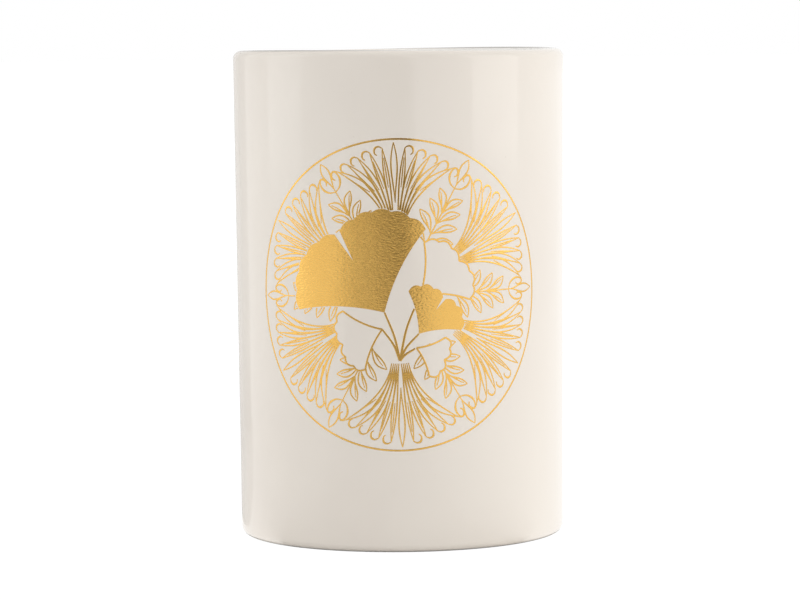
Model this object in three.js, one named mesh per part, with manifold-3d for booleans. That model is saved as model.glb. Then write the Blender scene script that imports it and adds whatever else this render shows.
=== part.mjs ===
// A straight-sided porcelain vase with a round medallion printed on its wall in bright gold.
// Millimetres, +Z up, origin at the middle of the foot's standing plane. The medallion faces -Y.
// The vase is one cast and fired body. Every island of gold on it is a thin solid of its own,
// bent to the wall: the ring line, two solid ginkgo leaves, three ginkgo leaves in outline, their
// stalks, and a border of six plain palmettes with four leafy sprigs between them.
import * as THREE from "three";
import { mergeVertices } from "three/addons/utils/BufferGeometryUtils.js";
import Module from "manifold-3d";

const wasm = await Module();
wasm.setup();

// ---- Driving dimensions -------------------------------------------------------------------

const HEIGHT = 180;
const TOP_RADIUS = 61.2; // outside of the wall, carried up to the top
const BOTTOM_RADIUS = 60; // outside of the wall, carried down to the table
const WALL = 4.5;
const FLOOR_TOP = 7; // level of the inside floor
const RIM_OUTER_ROUND = 3;
const RIM_INNER_ROUND = WALL - RIM_OUTER_ROUND; // the two rounds meet on top of the wall
const HEEL_ROUND = 3;
const INSIDE_ROUND = 8;
const UNDERSIDE = 0.5; // the heel ends this far above the table
const RECESS = 2.2; // height of the hollow inside the foot ring
const FOOT_RING_RADIUS = 53;
const FOOT_RING_WIDTH = 3.5;
const FOOT_RING_DRAFT = 0.8;
const AROUND = 72; // facets of the wall

const MEDALLION_RADIUS = 55.6; // measured along the wall, to the middle of the ring line
const MEDALLION_CENTRE = { across: -0.85, up: 93.1 };
const MEDALLION_TILT = THREE.MathUtils.degToRad(1.2); // it was laid on by hand, a little askew
const RING_WIDTH = 0.8;
const LINE_WIDTH = 0.7;
const PRINT_GAP = 0.1; // between the glaze and the gold solids
const PRINT_THICKNESS = 0.2;
const CLEAR = 0.5; // bare glaze kept between two islands of gold
const FANS = 6;

const PORCELAIN = new THREE.MeshStandardMaterial({ color: 0xe9e3da, roughness: 0.12 });
const GOLD = new THREE.MeshStandardMaterial({ color: 0xd9a441, roughness: 0.3, metalness: 1 });

// ---- Solids -------------------------------------------------------------------------------

function toSolid(geometry) {
  const bare = geometry.clone();
  bare.deleteAttribute("normal");
  bare.deleteAttribute("uv");
  const merged = mergeVertices(bare, 1e-4);
  return new wasm.Manifold(
    new wasm.Mesh({
      numProp: 3,
      vertProperties: new Float32Array(merged.attributes.position.array),
      triVerts: new Uint32Array(merged.index.array),
    }),
  );
}

function toGeometry(solid) {
  const mesh = solid.getMesh();
  const geometry = new THREE.BufferGeometry();
  geometry.setAttribute("position", new THREE.BufferAttribute(mesh.vertProperties, 3));
  geometry.setIndex(new THREE.BufferAttribute(mesh.triVerts, 1));
  geometry.computeVertexNormals();
  return geometry;
}

function union(solids) {
  return solids.reduce((whole, next) => whole.add(next));
}

function largestBody(solid) {
  return solid.decompose().reduce((best, next) => (next.volume() > best.volume() ? next : best));
}

const parts = new THREE.Group();

function addPart(name, geometry, material) {
  const mesh = new THREE.Mesh(geometry, material);
  mesh.name = name;
  parts.add(mesh);
}

// ---- The cast body ------------------------------------------------------------------------

function outerRadius(z) {
  return THREE.MathUtils.lerp(BOTTOM_RADIUS, TOP_RADIUS, z / HEIGHT);
}

function arc(centreR, centreZ, radius, fromDeg, toDeg, steps) {
  return Array.from({ length: steps + 1 }, (_, i) => {
    const angle = THREE.MathUtils.degToRad(THREE.MathUtils.lerp(fromDeg, toDeg, i / steps));
    return new THREE.Vector2(centreR + radius * Math.cos(angle), centreZ + radius * Math.sin(angle));
  });
}

// Turns a profile of (radius, height) points about the Z axis.
function turned(profile) {
  return new THREE.LatheGeometry(profile, AROUND).rotateX(Math.PI / 2);
}

function vaseBody() {
  const ringInner = FOOT_RING_RADIUS - FOOT_RING_WIDTH;
  const heelZ = UNDERSIDE + HEEL_ROUND;
  const heelR = outerRadius(heelZ) - HEEL_ROUND;
  const insideR = outerRadius(FLOOR_TOP) - WALL;
  const profile = [
    new THREE.Vector2(0, RECESS),
    new THREE.Vector2(ringInner - FOOT_RING_DRAFT, RECESS),
    new THREE.Vector2(ringInner, 0),
    new THREE.Vector2(FOOT_RING_RADIUS, 0),
    new THREE.Vector2(FOOT_RING_RADIUS + FOOT_RING_DRAFT, UNDERSIDE),
    ...arc(heelR, heelZ, HEEL_ROUND, -90, 0, 4),
    ...arc(TOP_RADIUS - RIM_OUTER_ROUND, HEIGHT - RIM_OUTER_ROUND, RIM_OUTER_ROUND, 0, 90, 3),
    ...arc(TOP_RADIUS - RIM_OUTER_ROUND, HEIGHT - RIM_INNER_ROUND, RIM_INNER_ROUND, 90, 180, 2).slice(1),
    ...arc(insideR - INSIDE_ROUND, FLOOR_TOP + INSIDE_ROUND, INSIDE_ROUND, 0, -90, 3),
    new THREE.Vector2(0, FLOOR_TOP),
  ];
  return turned(profile);
}

addPart("vase_body", vaseBody(), PORCELAIN);

// ---- Printing on the wall -----------------------------------------------------------------

const WRAP_RADIUS = outerRadius(MEDALLION_CENTRE.up);

// A sleeve just outside the wall, with the wall's own facets. Every print is cut from it.
function printSleeve() {
  const low = MEDALLION_CENTRE.up - MEDALLION_RADIUS - 5;
  const high = MEDALLION_CENTRE.up + MEDALLION_RADIUS + 5;
  const at = (z, out) => new THREE.Vector2(outerRadius(z) + out, z);
  const outside = PRINT_GAP + PRINT_THICKNESS;
  const profile = [at(low, PRINT_GAP), at(low, outside), at(high, outside), at(high, PRINT_GAP)];
  return toSolid(turned([...profile, profile[0]]));
}

const SLEEVE = printSleeve();

// A flat outline of the medallion, in millimetres from its centre, as a block that reaches
// through the front wall. Across the wall, a distance along the wall becomes its view from -Y.
function block(outline) {
  const placed = outline.map((p) => {
    const flat = p.clone().rotateAround(new THREE.Vector2(), MEDALLION_TILT);
    const angle = (flat.x + MEDALLION_CENTRE.across) / WRAP_RADIUS;
    return new THREE.Vector2(WRAP_RADIUS * Math.sin(angle), flat.y + MEDALLION_CENTRE.up);
  });
  const depth = TOP_RADIUS + 10;
  const geometry = new THREE.ExtrudeGeometry(new THREE.Shape(placed), { depth, bevelEnabled: false });
  return toSolid(geometry.rotateX(Math.PI / 2));
}

function addPrint(name, blocks) {
  addPart(name, toGeometry(largestBody(SLEEVE.intersect(blocks))), GOLD);
}

// ---- Strokes and circles ------------------------------------------------------------------

function polar(centre, radius, degrees) {
  const angle = THREE.MathUtils.degToRad(degrees);
  return new THREE.Vector2(centre.x + radius * Math.cos(angle), centre.y + radius * Math.sin(angle));
}

function circle(radius, steps) {
  const centre = new THREE.Vector2();
  return Array.from({ length: steps }, (_, i) => polar(centre, radius, (360 * i) / steps));
}

// Points along a smooth curve through the given ones.
function splinePoints(points, steps) {
  const curve = new THREE.SplineCurve(points.map((p) => (Array.isArray(p) ? new THREE.Vector2(...p) : p)));
  return curve.getPoints(steps);
}

// Reads a list of widths, spread evenly along a stroke, at a share of its length.
function widthAt(widths, share) {
  const place = share * (widths.length - 1);
  const i = Math.min(Math.floor(place), widths.length - 2);
  return THREE.MathUtils.lerp(widths[i], widths[i + 1], place - i);
}

// The outline of a stroke along points.
function ribbon(points, widths) {
  const last = points.length - 1;
  const side = (sign) =>
    points.map((p, i) => {
      const along = points[Math.min(i + 1, last)].clone().sub(points[Math.max(i - 1, 0)]).normalize();
      const half = (sign * widthAt(widths, i / last)) / 2;
      return new THREE.Vector2(p.x - along.y * half, p.y + along.x * half);
    });
  return [...side(-1), ...side(1).reverse()];
}

// The outline of a line of one width.
function line(points, width = LINE_WIDTH) {
  return ribbon(points, [width, width]);
}

// ---- Ginkgo leaves ------------------------------------------------------------------------

// A ginkgo leaf is a fan that spreads evenly to both sides of its direction, in degrees, from the
// end of its stalk. Its margin is scalloped, with so many scallops to each half, and the solid
// leaves are slit along the middle, by a share of their reach.
function ginkgo(x, y, direction, spread, reach, scallops, slit = 0) {
  return { pivot: new THREE.Vector2(x, y), direction, spread, reach, scallops, slit };
}

const LEAVES = {
  goldLarge: ginkgo(-5, -6, 120, 116, 37, 5, 0.42),
  goldSmall: ginkgo(7, -14, 52, 100, 18, 3, 0.42),
  whiteUpper: ginkgo(8, 0, 38, 92, 21, 3),
  whiteLeft: ginkgo(-6, -12, 200, 90, 18, 3),
  whiteRight: ginkgo(6, -19, -25, 84, 13, 2),
};
const SCALLOP_POINTS = 4;
const SCALLOP_DIP = 0.9;
const LOBE_CROWN = 0.08; // share of the reach by which a half's middle stands out
const SLIT_MOUTH = 2; // degrees from the middle to each side of the slit
const SIDE_BOW = 0.05; // share of the reach by which the side edges bow in

function lobeMargin(leaf, from, to, grow) {
  const steps = leaf.scallops * SCALLOP_POINTS;
  return Array.from({ length: steps + 1 }, (_, i) => {
    const share = i / steps;
    const dent = SCALLOP_DIP * (1 - Math.abs(Math.sin((Math.PI * i) / SCALLOP_POINTS)));
    const crown = leaf.reach * (1 - LOBE_CROWN + LOBE_CROWN * Math.sin(Math.PI * share));
    return polar(leaf.pivot, crown - dent + grow, THREE.MathUtils.lerp(from, to, share));
  });
}

// A side edge from the pivot to the margin's end, bowed to one side.
function sideEdge(leaf, end, bow) {
  const along = end.clone().sub(leaf.pivot);
  const across = new THREE.Vector2(along.y, -along.x).normalize();
  const middle = leaf.pivot.clone().addScaledVector(along, 0.5).addScaledVector(across, 2 * bow);
  return new THREE.QuadraticBezierCurve(leaf.pivot, middle, end).getPoints(5);
}

function leafLines(leaf, grow = 0) {
  const { direction, spread, reach, slit } = leaf;
  const mouth = slit ? SLIT_MOUTH : 0;
  const first = lobeMargin(leaf, direction + spread / 2, direction + mouth, grow);
  const second = lobeMargin(leaf, direction - mouth, direction - spread / 2, grow).slice(slit ? 0 : 1);
  const startEdge = sideEdge(leaf, first[0], SIDE_BOW * reach);
  const endEdge = sideEdge(leaf, second.at(-1), -SIDE_BOW * reach);
  return { first, second, startEdge, endEdge };
}

function leafOutline(leaf) {
  const { first, second, startEdge, endEdge } = leafLines(leaf);
  const slit = leaf.slit ? [polar(leaf.pivot, leaf.reach * (1 - leaf.slit), leaf.direction)] : [];
  return [...startEdge.slice(0, -1), ...first, ...slit, ...second, ...endEdge.reverse().slice(1, -1)];
}

// The leaf without its slit and with a border all round, to cut its neighbours back by.
function leafZone(leaf, border) {
  const { first, second, startEdge, endEdge } = leafLines(leaf, border);
  const sides = [startEdge, endEdge].map((edge) => block(line(edge, 2 * border)));
  const back = endEdge.slice(1, -1).reverse();
  return union([block([leaf.pivot, ...startEdge.slice(1, -1), ...first, ...second, ...back]), ...sides]);
}

// A white leaf's outline: its margin and its two side edges as lines.
function leafEdge(leaf) {
  const { first, second, startEdge, endEdge } = leafLines(leaf);
  return union([[...first, ...second], startEdge, endEdge].map((edge) => block(line(edge))));
}

function without(solid, others) {
  return others.reduce((rest, other) => rest.subtract(other), solid);
}

// ---- The middle of the medallion ----------------------------------------------------------

// The stalks of all five leaves meet in one foot.
const STALK_FOOT = new THREE.Vector2(0, -23.4);
const STALK_GATHER = 0.35; // share of a pivot's distance from the axis that is left halfway down
const STALK_FOOT_CLEAR = 1.2; // radius kept free of the border round the foot

const stalks = union(
  Object.values(LEAVES).map(({ pivot }) => {
    const middle = new THREE.Vector2(pivot.x * STALK_GATHER, (pivot.y + STALK_FOOT.y) / 2);
    return block(line(splinePoints([pivot, middle, STALK_FOOT], 8)));
  }),
);
const lineZone = LINE_WIDTH / 2 + CLEAR;
const zone = {
  goldLarge: leafZone(LEAVES.goldLarge, CLEAR),
  goldSmall: leafZone(LEAVES.goldSmall, CLEAR),
  whiteUpper: leafZone(LEAVES.whiteUpper, lineZone),
  whiteLeft: leafZone(LEAVES.whiteLeft, lineZone),
  whiteRight: leafZone(LEAVES.whiteRight, lineZone),
  stalkFoot: block(circle(STALK_FOOT_CLEAR, 12).map((p) => p.add(STALK_FOOT))),
};
const goldZones = [zone.goldLarge, zone.goldSmall];
const whiteZones = [zone.whiteUpper, zone.whiteLeft, zone.whiteRight];
const middleZone = union(Object.values(zone));

const outerCircle = block(circle(MEDALLION_RADIUS + RING_WIDTH / 2, AROUND));
const innerCircle = block(circle(MEDALLION_RADIUS - RING_WIDTH / 2, AROUND));
addPrint("medallion_ring", outerCircle.subtract(innerCircle));
addPrint("ginkgo_leaf_large", block(leafOutline(LEAVES.goldLarge)));
addPrint("ginkgo_leaf_small", block(leafOutline(LEAVES.goldSmall)));
addPrint("leaf_stalk_line", without(stalks, [...goldZones, ...whiteZones]));
addPrint("white_leaf_upper_edge", without(leafEdge(LEAVES.whiteUpper), goldZones));
addPrint("white_leaf_left_edge", without(leafEdge(LEAVES.whiteLeft), goldZones));
addPrint("white_leaf_right_edge", without(leafEdge(LEAVES.whiteRight), goldZones));

// ---- The border of palmettes and sprigs ---------------------------------------------------

// A motif stands upright over the medallion's centre. Its strokes, as [points, widths], are made
// for the right half and mirrored.
const PALMETTE_ROOT = 25; // distance from the medallion's centre to where the petals spring
const PETALS = 5; // to each side
const ROOT_SPACING = 1.1; // degrees between the roots of two petals
const INNER_TIP = { degrees: 4, reach: 53 };
const OUTER_TIP = { degrees: 25, reach: 49 };
const OUTER_BEND = 4; // how far the outermost petal sweeps outwards
const AXIS_TOP = 54.2;
const TIE = { degrees: 24, reach: 45 }; // the arched line that holds the petals together
const SPRIG_FOOT = 22;
const SPRIG_TOP = 52;
const LEAFLETS = 4; // to each side
const LEAFLET_SPACING = 3.6;
const LEAFLET_LENGTH = 8.6;
const LEAFLET_BEND = 0.8;
const SPRIGS = [
  { direction: 60, lift: 0, size: 1 },
  { direction: 0, lift: 0, size: 1 },
  { direction: -60, lift: 2, size: 0.92 },
  { direction: -120, lift: 2, size: 0.84 },
];
const STROKE_STEPS = 2; // points for each length between two given ones

// A point of a motif by its angle off the upright axis and its distance from the centre.
function offAxis(degrees, reach) {
  return polar(new THREE.Vector2(), reach, 90 - degrees);
}

// One stroke from start to end, bent to its left.
function petal(start, end, bend, widths) {
  const along = end.clone().sub(start);
  const left = new THREE.Vector2(-along.y, along.x).normalize();
  return [[start, start.clone().addScaledVector(along, 0.5).addScaledVector(left, bend), end], widths];
}

const PALMETTE_HALF = Array.from({ length: PETALS }, (_, i) => {
  const share = i / (PETALS - 1);
  const degrees = THREE.MathUtils.lerp(INNER_TIP.degrees, OUTER_TIP.degrees, share);
  const end = offAxis(degrees, THREE.MathUtils.lerp(INNER_TIP.reach, OUTER_TIP.reach, share));
  return petal(offAxis(ROOT_SPACING * (i + 1), PALMETTE_ROOT), end, OUTER_BEND * share, [0.6, 1.1, 0.5]);
});
const PALMETTE_MIDDLE = [
  [[offAxis(0, PALMETTE_ROOT), offAxis(0, AXIS_TOP)], [1, 0.8]],
  [[-1, -0.5, 0, 0.5, 1].map((share) => offAxis(share * TIE.degrees, TIE.reach)), [0.8, 0.8]],
];
const SPRIG_HALF = Array.from({ length: LEAFLETS }, (_, i) => {
  const start = new THREE.Vector2(0, SPRIG_FOOT + LEAFLET_SPACING * i);
  const rise = 30 + 10 * i; // degrees: the upper leaflets stand steeper
  return petal(start, polar(start, LEAFLET_LENGTH, rise), LEAFLET_BEND, [0.8, 1.3, 0.4]);
});
const SPRIG_MIDDLE = [[[offAxis(0, SPRIG_FOOT - 1), offAxis(0, SPRIG_TOP)], [1, 0.8]]];

function mirrored([points, widths]) {
  return [points.map((p) => new THREE.Vector2(-p.x, p.y)), widths];
}

// The strokes of one motif, sized and lifted from its foot, turned to stand in the given
// direction and cut clear of the leaves.
function addMotif(name, half, middle, { direction, foot = 0, lift = 0, size = 1 }) {
  const turn = THREE.MathUtils.degToRad(direction - 90);
  const blocks = [...half, ...half.map(mirrored), ...middle].map(([points, widths]) => {
    const path = splinePoints(points, STROKE_STEPS * (points.length - 1)).map((p) =>
      new THREE.Vector2(p.x * size, foot + lift + (p.y - foot) * size).rotateAround(new THREE.Vector2(), turn),
    );
    return block(ribbon(path, widths));
  });
  addPrint(name, without(union(blocks), [middleZone]));
}

for (let i = 0; i < FANS; i++) {
  addMotif(`fan_${i + 1}`, PALMETTE_HALF, PALMETTE_MIDDLE, { direction: 90 - (360 * i) / FANS });
}
SPRIGS.forEach((sprig, i) => {
  addMotif(`sprig_${i + 1}`, SPRIG_HALF, SPRIG_MIDDLE, { ...sprig, foot: SPRIG_FOOT });
});

export default parts;
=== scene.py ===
"""A straight porcelain vase with a round gold medallion printed on its front.

The porcelain body is turned from one profile. The medallion is drawn flat, in millimetres from
its centre, with complex numbers for points (real part across, imaginary part up), and every
island of gold is then bent onto the wall as a thin raised piece.
"""

import cmath
import math

import bmesh
import bpy
from mathutils import Matrix, Vector


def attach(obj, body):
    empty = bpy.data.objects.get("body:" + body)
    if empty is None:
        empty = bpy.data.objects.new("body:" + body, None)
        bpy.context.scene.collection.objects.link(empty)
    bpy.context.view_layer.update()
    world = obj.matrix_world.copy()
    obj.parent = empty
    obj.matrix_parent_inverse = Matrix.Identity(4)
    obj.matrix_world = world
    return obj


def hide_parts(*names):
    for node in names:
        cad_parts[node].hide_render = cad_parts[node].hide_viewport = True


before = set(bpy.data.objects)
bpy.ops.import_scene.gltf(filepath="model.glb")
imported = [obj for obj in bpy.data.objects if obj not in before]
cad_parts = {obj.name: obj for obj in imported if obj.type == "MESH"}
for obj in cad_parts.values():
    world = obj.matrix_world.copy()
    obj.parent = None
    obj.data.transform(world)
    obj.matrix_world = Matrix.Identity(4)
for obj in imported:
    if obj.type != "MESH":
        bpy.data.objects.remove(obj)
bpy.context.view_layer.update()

MM = 0.001

# The body, in millimetres
HEIGHT = 180
TOP_RADIUS = 61.2
BOTTOM_RADIUS = 60
WALL = 4.5
FLOOR_TOP = 7
RIM_OUTER_ROUND = 3
RIM_INNER_ROUND = 1.5
HEEL_ROUND = 3
INSIDE_ROUND = 8
UNDERSIDE = 0.5
RECESS = 2.2
FOOT_RING = (49.5, 53)
FOOT_RING_DRAFT = 0.8
AROUND = 256  # facets
RIM_WARP = 0.35  # how far the rim sags and rises after firing

# The medallion
MEDALLION_RADIUS = 55.6
MEDALLION_CENTRE = complex(-0.85, 93.1)
MEDALLION_TILT = math.radians(1.2)
RING_LINE = 0.7
EDGE_LINE = 0.55
INK_SPREAD = 0.13  # how much wider a line fires than it is drawn
LINE_STEP = 0.5  # length between two points of a drawn line
LINE_HEIGHT = 0.04  # a line's height as a share of its width
LEAF_HEIGHT = 0.03
LEAF_SLICE = 0.8  # width of the strips that let a leaf bend round the wall


def wall_radius(z):
    """Outer radius of the wall at a height, all in millimetres."""
    return BOTTOM_RADIUS + (TOP_RADIUS - BOTTOM_RADIUS) * z / HEIGHT


WRAP_RADIUS = wall_radius(MEDALLION_CENTRE.imag)


def on_wall(flat, lift):
    """The place in metres of a point of the flat medallion, lifted off the glaze."""
    laid = flat * cmath.rect(1, MEDALLION_TILT) + MEDALLION_CENTRE
    angle = laid.real / WRAP_RADIUS
    out = (wall_radius(laid.imag) + lift) * MM
    return Vector((out * math.sin(angle), -out * math.cos(angle), laid.imag * MM))


# ---- Finishes ------------------------------------------------------------------------------


class Value:
    """A node's output, which Python's operators join to further Math nodes."""

    def __init__(self, finish, socket):
        self.finish = finish
        self.socket = socket

    def math(self, operation, *values):
        return self.finish.node("ShaderNodeMath", {"operation": operation}, dict(enumerate(values)))

    def __add__(self, other):
        return self.math("ADD", self, other)

    def __radd__(self, other):
        return self.math("ADD", other, self)

    def __sub__(self, other):
        return self.math("SUBTRACT", self, other)

    def __rsub__(self, other):
        return self.math("SUBTRACT", other, self)

    def __mul__(self, other):
        return self.math("MULTIPLY", self, other)

    def __rmul__(self, other):
        return self.math("MULTIPLY", other, self)


class Finish:
    """A material, built node by node."""

    def __init__(self, name, shader):
        self.material = bpy.data.materials.new(name)
        self.material.use_nodes = True
        self.tree = self.material.node_tree
        self.shader = self.tree.nodes["Principled BSDF"]
        for socket, value in shader.items():
            self.set(socket, value)

    def connect(self, value, socket):
        if isinstance(value, Value):
            self.tree.links.new(value.socket, socket)
        else:
            socket.default_value = value

    def set(self, name, value):
        self.connect(value, self.shader.inputs[name])

    def node(self, kind, settings=None, inputs=None, output=0):
        made = self.tree.nodes.new(kind)
        for name, setting in (settings or {}).items():
            setattr(made, name, setting)
        for name, value in (inputs or {}).items():
            self.connect(value, made.inputs[name])
        return Value(self, made.outputs[output])

    def place(self, scale=(1, 1, 1)):
        """Object coordinates, stretched."""
        place = self.node("ShaderNodeTexCoord", output="Object")
        return self.node("ShaderNodeMapping", inputs={"Vector": place, "Scale": scale})

    def noise(self, scale, detail=2, roughness=0.5, stretch=(1, 1, 1)):
        """Noise from 0 to 1 with that many features to a metre."""
        inputs = {
            "Vector": self.place(stretch),
            "Scale": scale,
            "Detail": detail,
            "Roughness": roughness,
        }
        return self.node("ShaderNodeTexNoise", {"normalize": True}, inputs)

    def range(self, value, low, high, new_low=0, new_high=1):
        """A value's place between low and high, eased, as a place between new_low and new_high."""
        inputs = {
            "Value": value,
            "From Min": low,
            "From Max": high,
            "To Min": new_low,
            "To Max": new_high,
        }
        return self.node("ShaderNodeMapRange", {"interpolation_type": "SMOOTHSTEP"}, inputs)

    def mix(self, share, one, other):
        """A colour between two others. A colour mix's inputs and output go by their numbers."""
        settings = {"data_type": "RGBA", "blend_type": "MIX"}
        return self.node("ShaderNodeMix", settings, {0: share, 6: one, 7: other}, output=2)

    def bump(self, height, strength, distance, under=None):
        inputs = {"Height": height, "Strength": strength, "Distance": distance}
        if under:
            inputs["Normal"] = under
        return self.node("ShaderNodeBump", {}, inputs)


def glazed_porcelain():
    """Warm ivory glaze, painted whiter inside as painted light, with a painted shade line in dark grey
    along the rim's top, and bare under the foot ring.
    """
    bare_clay = (0.72, 0.69, 0.65, 1)
    # painted shade: the dark grey on the next line is laid along the rim's top as a shade line
    rim_shade_grey = (0.30, 0.29, 0.27, 1)
    # painted light: the near-white on the next line makes the inside glaze lighter, standing for light on
    # the far inner wall
    lit_inside_white = (0.94, 0.92, 0.88, 1)
    finish = Finish("ivory_glaze", {"IOR": 1.52})
    place = finish.node("ShaderNodeTexCoord", output="Object")
    height = finish.node("ShaderNodeSeparateXYZ", inputs={0: place}, output="Z")
    level = finish.node("ShaderNodeVectorMath", {"operation": "MULTIPLY"}, {0: place, 1: (1, 1, 0)})
    reach = finish.node("ShaderNodeVectorMath", {"operation": "LENGTH"}, {0: level}, output="Value")
    clouds = finish.noise(14, detail=3)
    cloudy = finish.range(clouds, 0.35, 0.65)
    warm = finish.mix(cloudy, (0.795, 0.732, 0.66, 1), (0.815, 0.755, 0.68, 1))
    speckle = finish.range(finish.noise(1400, detail=1), 0.77, 0.83)
    glaze = finish.mix(speckle * 0.25, warm, (0.45, 0.38, 0.30, 1))
    # painted light: nearer the axis than 56.8 mm, which takes in the inside, the glaze is painted that
    # lighter white
    with_lit_inside = finish.mix(finish.range(reach, 0.0568, 0.0578), lit_inside_white, glaze)
    # painted shade: the top 0.4 mm of the rim is mixed most of the way to that dark grey
    rim_shade_mask = finish.range(height, 0.1797, 0.1801)
    with_rim_shade = finish.mix(rim_shade_mask * 0.8, with_lit_inside, rim_shade_grey)
    bare = finish.range(height, 0.0013, 0.0008)
    finish.set("Base Color", finish.mix(bare, with_rim_shade, bare_clay))
    finish.set("Roughness", finish.range(clouds, 0.3, 0.7, 0.06, 0.11) + bare * 0.6)
    slow = finish.bump(finish.noise(22, detail=1), 0.35, 0.0004)
    finish.set("Normal", finish.bump(finish.noise(420, detail=2), 0.03, 0.0002, slow))
    return finish.material


def fired_gold(name, roughness, pebbling):
    """Bright gold with a fine pebbled skin. roughness is its lowest and highest."""
    finish = Finish(name, {"Metallic": 1.0})
    clouds = finish.noise(60, detail=2)
    pebbles = finish.noise(2100, detail=1, roughness=0.5, stretch=(0.5, 0.5, 1))
    finish.set("Base Color", finish.mix(clouds, (0.78, 0.46, 0.12, 1), (0.83, 0.51, 0.14, 1)))
    streaks = finish.noise(700, detail=1, stretch=(1, 1, 0.04))
    finish.set("Roughness", finish.range(pebbles, 0.3, 0.7, *roughness))
    first = finish.bump(streaks, 0.08, 0.0002)
    finish.set("Normal", finish.bump(pebbles, pebbling, 0.0002, first))
    return finish.material


PORCELAIN = glazed_porcelain()
GOLD = fired_gold("leaf_gold", (0.14, 0.26), 0.58)
LINE_GOLD = fired_gold("line_gold", (0.1, 0.16), 0.08)


# ---- Pieces --------------------------------------------------------------------------------


def add_piece(name, shape, finish, node=None):
    """Makes a bmesh a piece of the vase. node is the CAD node that it stands for."""
    mesh = bpy.data.meshes.new(name)
    shape.to_mesh(mesh)
    shape.free()
    mesh.materials.append(finish)
    mesh.shade_smooth()
    piece = bpy.data.objects.new(name, mesh)
    bpy.context.scene.collection.objects.link(piece)
    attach(piece, "root")
    if node:
        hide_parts(node)
    return piece


def profile(corners):
    """A line of (radius, height, rounding) corners in the XZ plane, its corners rounded."""
    shape = bmesh.new()
    knots = [shape.verts.new((radius * MM, 0, height * MM)) for radius, height, _ in corners]
    for one, other in zip(knots, knots[1:]):
        shape.edges.new((one, other))
    for knot, (_, _, rounding) in zip(knots, corners):
        if rounding:
            bmesh.ops.bevel(
                shape,
                geom=[knot],
                offset=rounding * MM,
                offset_type="OFFSET",
                affect="VERTICES",
                segments=max(4, round(rounding * 2.5)),
                profile=0.5,
                material=-1,
            )
    bmesh.ops.remove_doubles(shape, verts=shape.verts, dist=0.005 * MM)
    return shape


def make_body():
    ring_inner, ring_outer = FOOT_RING
    inside = wall_radius(FLOOR_TOP) - WALL
    corners = [
        (0, RECESS, 0),
        (ring_inner - FOOT_RING_DRAFT, RECESS, 0.4),
        (ring_inner, 0, 0.5),
        (ring_outer, 0, 0.5),
        (ring_outer + FOOT_RING_DRAFT, UNDERSIDE, 0.3),
        (wall_radius(UNDERSIDE), UNDERSIDE, HEEL_ROUND),
        (TOP_RADIUS, HEIGHT, RIM_OUTER_ROUND),
        (TOP_RADIUS - WALL, HEIGHT, RIM_INNER_ROUND),
        (inside, FLOOR_TOP, INSIDE_ROUND),
        (0, FLOOR_TOP, 0),
    ]
    shape = profile(corners)
    for z in range(10, HEIGHT, 10):
        bmesh.ops.bisect_plane(
            shape, geom=shape.verts[:] + shape.edges[:], plane_co=(0, 0, z * MM), plane_no=(0, 0, 1)
        )
    bmesh.ops.spin(
        shape,
        geom=shape.verts[:] + shape.edges[:],
        cent=(0, 0, 0),
        axis=(0, 0, 1),
        dvec=(0, 0, 0),
        angle=math.tau,
        steps=AROUND,
        use_merge=True,
    )
    bmesh.ops.remove_doubles(shape, verts=shape.verts, dist=0.001 * MM)
    bmesh.ops.recalc_face_normals(shape, faces=shape.faces)
    for knot in shape.verts:
        share = max(0, knot.co.z / (HEIGHT * MM) - 0.6) / 0.4
        angle = math.atan2(knot.co.y, knot.co.x)
        knot.co.z += RIM_WARP * MM * share**2 * math.sin(2 * angle)
    return add_piece("porcelain_body", shape, PORCELAIN, "vase_body")


# ---- Drawing -------------------------------------------------------------------------------


def at(*pairs):
    return [complex(across, up) for across, up in pairs]


def polar(centre, degrees, reach):
    return centre + cmath.rect(reach, math.radians(degrees))


def smooth(points, per=12):
    """A smooth line through points, with that many steps between two of them."""
    ends = [2 * points[0] - points[1], *points, 2 * points[-1] - points[-2]]
    line = []
    for a, b, c, d in zip(ends, ends[1:], ends[2:], ends[3:]):
        for i in range(per):
            t = i / per
            bend = 2 * a - 5 * b + 4 * c - d + t * (3 * (b - c) + d - a)
            line.append(b + 0.5 * t * (c - a + t * bend))
    return [*line, points[-1]]


def read(values, share):
    """A value at a share of the way along a list of evenly spread values."""
    place = share * (len(values) - 1)
    i = min(int(place), len(values) - 2)
    return values[i] + (values[i + 1] - values[i]) * (place - i)


def even(line, step):
    """Points along a line at even steps of its length, each with its share of the length."""
    lengths = [0]
    for one, other in zip(line, line[1:]):
        lengths.append(lengths[-1] + abs(other - one))
    count = max(2, round(lengths[-1] / step))
    found, i = [], 0
    for k in range(count + 1):
        goal = lengths[-1] * k / count
        while i < len(line) - 2 and lengths[i + 1] < goal:
            i += 1
        span = lengths[i + 1] - lengths[i] or 1
        found.append((line[i] + (line[i + 1] - line[i]) * (goal - lengths[i]) / span, k / count))
    return found


def inside(point, outline):
    """True if a point lies in a closed outline."""
    hit = False
    for a, b in zip(outline, outline[1:] + outline[:1]):
        if (a.imag > point.imag) != (b.imag > point.imag):
            crossing = a.real + (b.real - a.real) * (point.imag - a.imag) / (b.imag - a.imag)
            hit ^= point.real < crossing
    return hit


def runs(points, widths, hidden, step=LINE_STEP):
    """The stretches of a stroke that lie outside every hidden outline, as (point, width) lists."""
    found, run = [], []
    for point, share in even(smooth(points), step):
        if any(inside(point, outline) for outline in hidden):
            if len(run) > 1:
                found.append(run)
            run = []
        else:
            run.append((point, read(widths, share) + INK_SPREAD))
    if len(run) > 1:
        found.append(run)
    return found


def bend_onto_wall(shape, height=1.0, lift=0.0):
    """Lays a flat shape in millimetres on the wall; height scales what stands out of it."""
    for knot in shape.verts:
        knot.co = on_wall(complex(knot.co.x, knot.co.y), knot.co.z * height + lift)


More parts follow.
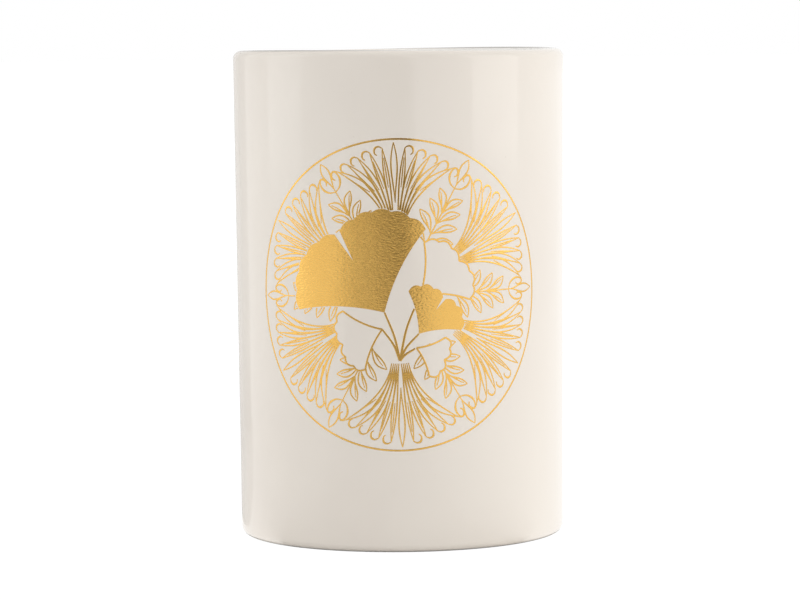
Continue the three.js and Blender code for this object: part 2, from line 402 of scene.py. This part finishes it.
def curve_shape(curve):
    """The mesh of a curve, as a bmesh."""
    holder = bpy.data.objects.new(curve.name, curve)
    mesh = bpy.data.meshes.new_from_object(holder)
    shape = bmesh.new()
    shape.from_mesh(mesh)
    bpy.data.objects.remove(holder)
    bpy.data.curves.remove(curve)
    bpy.data.meshes.remove(mesh)
    return shape


def gold_lines(name, lines, node=None, cyclic=False):
    """Lines of (point, width) pairs as low domed beads of gold."""
    curve = bpy.data.curves.new(name, "CURVE")
    curve.dimensions = "3D"
    curve.bevel_depth = 0.5
    curve.bevel_resolution = 2
    curve.use_fill_caps = not cyclic
    for line in lines:
        spline = curve.splines.new("POLY")
        spline.points.add(len(line) - 1)
        spline.use_cyclic_u = cyclic
        for knot, (point, width) in zip(spline.points, line):
            knot.co = (point.real, point.imag, 0, 1)
            knot.radius = width
    shape = curve_shape(curve)
    bend_onto_wall(shape, LINE_HEIGHT)
    return add_piece(name, shape, LINE_GOLD, node)


def gold_area(name, outline, node=None):
    """A closed outline as a thin raised slab of gold."""
    curve = bpy.data.curves.new(name, "CURVE")
    curve.dimensions = "2D"
    curve.fill_mode = "BOTH"
    curve.extrude = LEAF_HEIGHT
    spline = curve.splines.new("POLY")
    spline.points.add(len(outline) - 1)
    spline.use_cyclic_u = True
    for knot, point in zip(spline.points, outline):
        knot.co = (point.real, point.imag, 0, 1)
    shape = curve_shape(curve)
    bmesh.ops.remove_doubles(shape, verts=shape.verts, dist=1e-4)
    low = min(point.real for point in outline)
    high = max(point.real for point in outline)
    for i in range(1, math.ceil((high - low) / LEAF_SLICE)):
        bmesh.ops.bisect_plane(
            shape,
            geom=shape.verts[:] + shape.edges[:] + shape.faces[:],
            plane_co=(low + i * LEAF_SLICE, 0, 0),
            plane_no=(1, 0, 0),
        )
    bend_onto_wall(shape)
    piece = add_piece(name, shape, GOLD, node)
    piece.data.set_sharp_from_angle(angle=math.radians(30))
    return piece


# ---- Ginkgo leaves -------------------------------------------------------------------------


class Leaf:
    """A ginkgo leaf, a fan that spreads evenly to both sides of its direction from its stalk.

    Each half of its margin has a number of scallops. slit is the share of its reach by which a
    solid leaf is parted along its middle.
    """

    SCALLOP_DIP = 0.9
    CROWN = 0.08  # share of the reach by which a half's middle stands out
    MOUTH = 2  # degrees from the middle to each side of the slit
    BOW = 0.05  # share of the reach by which the side edges bow in

    def __init__(self, pivot, direction, spread, reach, scallops, slit=0):
        self.pivot = pivot
        self.reach = reach
        self.scallops = scallops
        mouth = self.MOUTH if slit else 0
        first = self.margin(direction + spread / 2, direction + mouth)
        second = self.margin(direction - mouth, direction - spread / 2)
        parting = [polar(pivot, direction, reach * (1 - slit))] if slit else []
        start = self.side(first[0], self.BOW * reach)
        end = self.side(second[-1], -self.BOW * reach)
        self.outline = [*start[:-1], *first, *parting, *second, *end[-2:0:-1]]
        self.cover = [*start[:-1], *first, *second, *end[-2:0:-1]]

    def margin(self, first, last, per=10):
        steps = self.scallops * per
        points = []
        for i in range(steps + 1):
            dent = self.SCALLOP_DIP * (1 - abs(math.sin(math.pi * i / per)))
            crown = 1 - self.CROWN + self.CROWN * math.sin(math.pi * i / steps)
            points.append(polar(self.pivot, first + (last - first) * i / steps, self.reach * crown - dent))
        return points

    def side(self, end, bow, steps=10):
        along = end - self.pivot
        middle = self.pivot + along / 2 - 2j * bow * along / abs(along)
        shares = [i / steps for i in range(steps + 1)]
        return [(1 - t) ** 2 * self.pivot + 2 * t * (1 - t) * middle + t * t * end for t in shares]


GOLD_LEAVES = {
    "large": Leaf(complex(-5, -6), 120, 116, 37, 5, slit=0.42),
    "small": Leaf(complex(7, -14), 52, 100, 18, 3, slit=0.42),
}
WHITE_LEAVES = {
    "upper": Leaf(complex(8, 0), 38, 92, 21, 3),
    "left": Leaf(complex(-6, -12), 200, 90, 18, 3),
    "right": Leaf(complex(6, -19), -25, 84, 13, 2),
}
ALL_LEAVES = [*GOLD_LEAVES.values(), *WHITE_LEAVES.values()]
GOLD_OUTLINES = [leaf.outline for leaf in GOLD_LEAVES.values()]
LEAF_COVERS = [leaf.cover for leaf in ALL_LEAVES]
STALK_FOOT = complex(0, -23.4)
STALK_GATHER = 0.35  # share of a pivot's distance from the axis that is left halfway down


def make_middle():
    for size, leaf in GOLD_LEAVES.items():
        gold_area(f"gold_leaf_{size}", leaf.outline, f"ginkgo_leaf_{size}")
    for side, leaf in WHITE_LEAVES.items():
        edge = runs([*leaf.outline, leaf.outline[0]], [EDGE_LINE, EDGE_LINE], GOLD_OUTLINES)
        gold_lines(f"white_leaf_{side}_line", edge, f"white_leaf_{side}_edge")
    stalks = []
    for leaf in ALL_LEAVES:
        middle = complex(leaf.pivot.real * STALK_GATHER, (leaf.pivot.imag + STALK_FOOT.imag) / 2)
        stalks += runs([leaf.pivot, middle, STALK_FOOT], [EDGE_LINE, 0.8], LEAF_COVERS)
    gold_lines("stalk_line", stalks, "leaf_stalk_line")


# ---- The border ----------------------------------------------------------------------------

FANS = 6
PALMETTE_ROOT = 24.4  # distance from the medallion's centre to where the petals spring
PETALS = 5  # to each side
ROOT_SPACING = 1.5  # degrees
INNER_TIP = (4.4, 52.6)  # degrees off the axis, distance from the centre
OUTER_TIP = (25, 49)
OUTER_BEND = 4  # how far the outermost petal sweeps outwards
TIP_CURL = [(1.5, 0.7), (2.9, 0.2), (3.3, -1.4), (2.4, -2.4)]  # degrees on, distance up
BUD_TOP = 54.4
SPRIG_FOOT = 20.6
STEM_TOP = 44
LEAFLETS = 4  # to each side
LEAFLET_SPACING = 4.2
EDGE_WIDTHS = [0.2, 0.42, 0.5, 0.42, 0.25]
CURL_WIDTHS = [0.25, 0.7, 0.25]
VEIN_WIDTHS = [0.2, 0.4, 0.2]


def off_axis(degrees, reach):
    """A point of an upright motif by its angle off the axis and its distance from the centre."""
    return cmath.rect(reach, math.radians(90 - degrees))


def petal(start, end, swell, bend=0, steps=8):
    """The two edges of a pointed petal from start to end, bent to its left."""
    along = end - start
    left = 1j * along / abs(along)
    edges = []
    for side in (-1, 1):
        points = []
        for i in range(steps + 1):
            t = i / steps
            off = 4 * bend * t * (1 - t) + side * swell * math.sin(math.pi * t**1.5)
            points.append(start + along * t + left * off)
        edges.append((points, EDGE_WIDTHS))
    return edges


def palmette_half():
    """Petals that spread from the root, each with a vein and a curl at its tip."""
    strokes = []
    for i in range(PETALS):
        share = i / (PETALS - 1)
        tilt, reach = (a + (b - a) * share for a, b in zip(INNER_TIP, OUTER_TIP))
        bend = OUTER_BEND * share
        root = off_axis(ROOT_SPACING * i + 1, PALMETTE_ROOT)
        tip = off_axis(tilt, reach)
        strokes += petal(root, tip, 0.85 + 0.25 * share, bend)
        middle = (root + tip) / 2 + bend * 1j * (tip - root) / abs(tip - root)
        vein = [middle + (tip - middle) * along for along in (0, 0.4, 0.75)]
        strokes.append((vein, VEIN_WIDTHS))
        curl = [tip, *(off_axis(tilt + on, reach + up) for on, up in TIP_CURL)]
        strokes.append((curl, CURL_WIDTHS))
    return strokes


def palmette_middle():
    return petal(off_axis(0, 33), off_axis(0, BUD_TOP), 1.1)


def sprig_half():
    """Leaflets one above the other along a stem, each with a vein, and a curl beside its bud."""
    strokes = []
    for i in range(LEAFLETS):
        start = complex(0.2, SPRIG_FOOT + LEAFLET_SPACING * i)
        tip = polar(start, 28 + 10 * i, 10 - 0.4 * i)
        strokes += petal(start, tip, 1.3, 0.9)
        vein = [start, (start + tip) / 2 + 0.7j, start + 0.8 * (tip - start) + 0.5j]
        strokes.append((vein, VEIN_WIDTHS))
    strokes.append((at((0.2, 43), (2.4, 44), (3.8, 46.2), (3.7, 48.6), (2.5, 50)), CURL_WIDTHS))
    return strokes


def sprig_middle():
    stem = (at((0, SPRIG_FOOT), (0, 32), (0, STEM_TOP)), [0.4, 0.4, 0.3])
    return [stem, *petal(off_axis(0, STEM_TOP), off_axis(0, BUD_TOP), 1.5)]


def motif(name, half, middle, direction, node=None):
    """Half the strokes, their mirror image and the middle ones, turned to a direction."""
    turn = cmath.rect(1, math.radians(direction - 90))
    mirrored = [([-point.conjugate() for point in points], widths) for points, widths in half]
    lines = []
    for points, widths in [*half, *mirrored, *middle]:
        lines += runs([point * turn for point in points], widths, LEAF_COVERS)
    gold_lines(name, lines, node)


def make_border():
    ring = [(cmath.rect(MEDALLION_RADIUS, math.tau * i / 240), RING_LINE) for i in range(240)]
    gold_lines("ring_line", [ring], "medallion_ring", cyclic=True)
    for i in range(FANS):
        direction = 90 - 360 * i / FANS
        motif(f"border_fan_{i + 1}", palmette_half(), palmette_middle(), direction, f"fan_{i + 1}")
        sprig = f"sprig_{i + 1}"
        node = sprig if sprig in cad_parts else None
        motif(f"border_{sprig}", sprig_half(), sprig_middle(), direction - 180 / FANS, node)


# ---- Surroundings --------------------------------------------------------------------------

FOOT_SHADE_RADIUS = 0.0595  # metres, just inside the heel
AIM = Vector((0, 0, 0.09))  # the lights point at the vase's middle


def flat_piece(name, corners, paint):
    """A flat piece of the set round the vase, which isn't part of it."""
    shape = bmesh.new()
    shape.faces.new([shape.verts.new(corner) for corner in corners])
    mesh = bpy.data.meshes.new(name)
    shape.to_mesh(mesh)
    shape.free()
    mesh.materials.append(paint)
    piece = bpy.data.objects.new(name, mesh)
    bpy.context.scene.collection.objects.link(piece)
    return piece


def make_stage():
    """A white table lit from below, so that the vase throws no shadow on it."""
    lit = Finish(
        "lit_acrylic_table",
        {
            "Base Color": (0.02, 0.02, 0.02, 1),
            "Emission Color": (1, 1, 1, 1),
            "Emission Strength": 1.0,
            "Roughness": 0.9,
        },
    )
    far = 20
    corners = [(-far, -far), (far, -far), (far, far), (-far, far)]
    flat_piece("floor", level(corners, 0), lit.material)


def make_card(name, corners, grey):
    """A card that is only seen reflected in the glaze and the gold."""
    paint = Finish(name, {"Base Color": (grey, grey, grey, 1), "Roughness": 1.0})
    flat_piece(name, corners, paint.material).visible_camera = False


def upright(azimuth, width, distance, low, high):
    """Corners of an upright card that faces the vase; azimuth is 0 in front and 90 at the right."""
    middle = cmath.rect(distance, math.radians(azimuth - 90))
    across = cmath.rect(distance * math.tan(math.radians(width / 2)), math.radians(azimuth))
    one, other = middle - across, middle + across
    places = [(one, low), (other, low), (other, high), (one, high)]
    return [(end.real, end.imag, height) for end, height in places]


def level(corners, height):
    """Corners of a flat card at a height."""
    return [(x, y, height) for x, y in corners]


def make_light(name, centre, size, power, colour):
    light = bpy.data.lights.new(name, "AREA")
    light.shape = "RECTANGLE"
    light.size, light.size_y = size
    light.energy = power
    light.color = colour
    lamp = bpy.data.objects.new(name, light)
    lamp.location = centre
    lamp.rotation_euler = (AIM - Vector(centre)).to_track_quat("-Z", "Y").to_euler()
    bpy.context.scene.collection.objects.link(lamp)


def make_camera():
    lens = bpy.data.cameras.new("camera")
    lens.lens = 159.4
    lens.sensor_width = 36
    camera = bpy.data.objects.new("camera", lens)
    down = Matrix.Rotation(math.radians(90 - 4.397), 4, "X")
    roll = Matrix.Rotation(math.radians(-0.547), 4, "Z")
    camera.matrix_world = Matrix.Translation((-0.00016, -1.3164, 0.188)) @ down @ roll
    bpy.context.scene.collection.objects.link(camera)
    bpy.context.scene.camera = camera


def make_surroundings():
    """The table, the grey cards that shade the glaze and the gold, two softboxes and the room."""
    make_stage()
    make_card("left_veil", upright(-55, 30, 1.6, 0, 1.1), 0.97)
    make_card("left_edge_card", upright(-40, 8, 1.59, 0, 1.1), 0.92)
    make_card("front_card", upright(-12, 48, 1.6, 0, 1.1), 0.84)
    make_card("camera_side_card", upright(-3, 26, 1.5, 0, 0.6), 0.56)
    make_card("camera_core", upright(2, 11, 1.4, 0, 0.6), 0.26)
    front_flag = [(-0.9, -0.4), (0.6, -0.4), (0.6, -1.3), (-0.9, -1.3)]
    make_card("front_flag", level(front_flag, 0.9), 0.75)
    near_cloth = [(-0.1, -0.04), (0.05, -0.04), (0.2, -0.5), (-0.4, -0.5)]
    make_card("near_cloth", level(near_cloth, 0.001), 0.88)
    far_cloth = [(-0.4, -0.5), (0.2, -0.5), (0.35, -1.5), (-1.1, -1.5)]
    make_card("far_cloth", level(far_cloth, 0.001), 0.5)
    rim = [cmath.rect(FOOT_SHADE_RADIUS, math.tau * i / 48) for i in range(48)]
    make_card("foot_shade", level([(p.real, p.imag) for p in rim], 0.0003), 0.5)
    make_card("left_flag", upright(-133.5, 17, 0.35, 0.002, 0.5), 0.64)
    left_cloth = [(-0.07, 0), (-0.06, 0.1), (-0.15, 0.5), (-0.35, 0.24)]
    make_card("left_cloth", level(left_cloth, 0.001), 0.75)
    make_card("back_left_flag", upright(-154, 24, 0.35, 0.002, 0.5), 0.8)
    make_light("left_softbox", (-1.7, -0.3, 0.7), (1.5, 1.4), 4.5, (0.93, 0.97, 1.0))
    make_light("right_softbox", (1.7, -0.6, 0.7), (1.4, 1.4), 6, (1.0, 0.98, 0.96))
    world = bpy.data.worlds.new("studio")
    bpy.context.scene.world = world
    world.use_nodes = True
    world.node_tree.nodes["Background"].inputs["Color"].default_value = (1, 1, 1, 1)
    world.node_tree.nodes["Background"].inputs["Strength"].default_value = 1.0
    bpy.context.scene.view_settings.view_transform = "Standard"


make_camera()
make_surroundings()
make_body()
make_middle()
make_border()
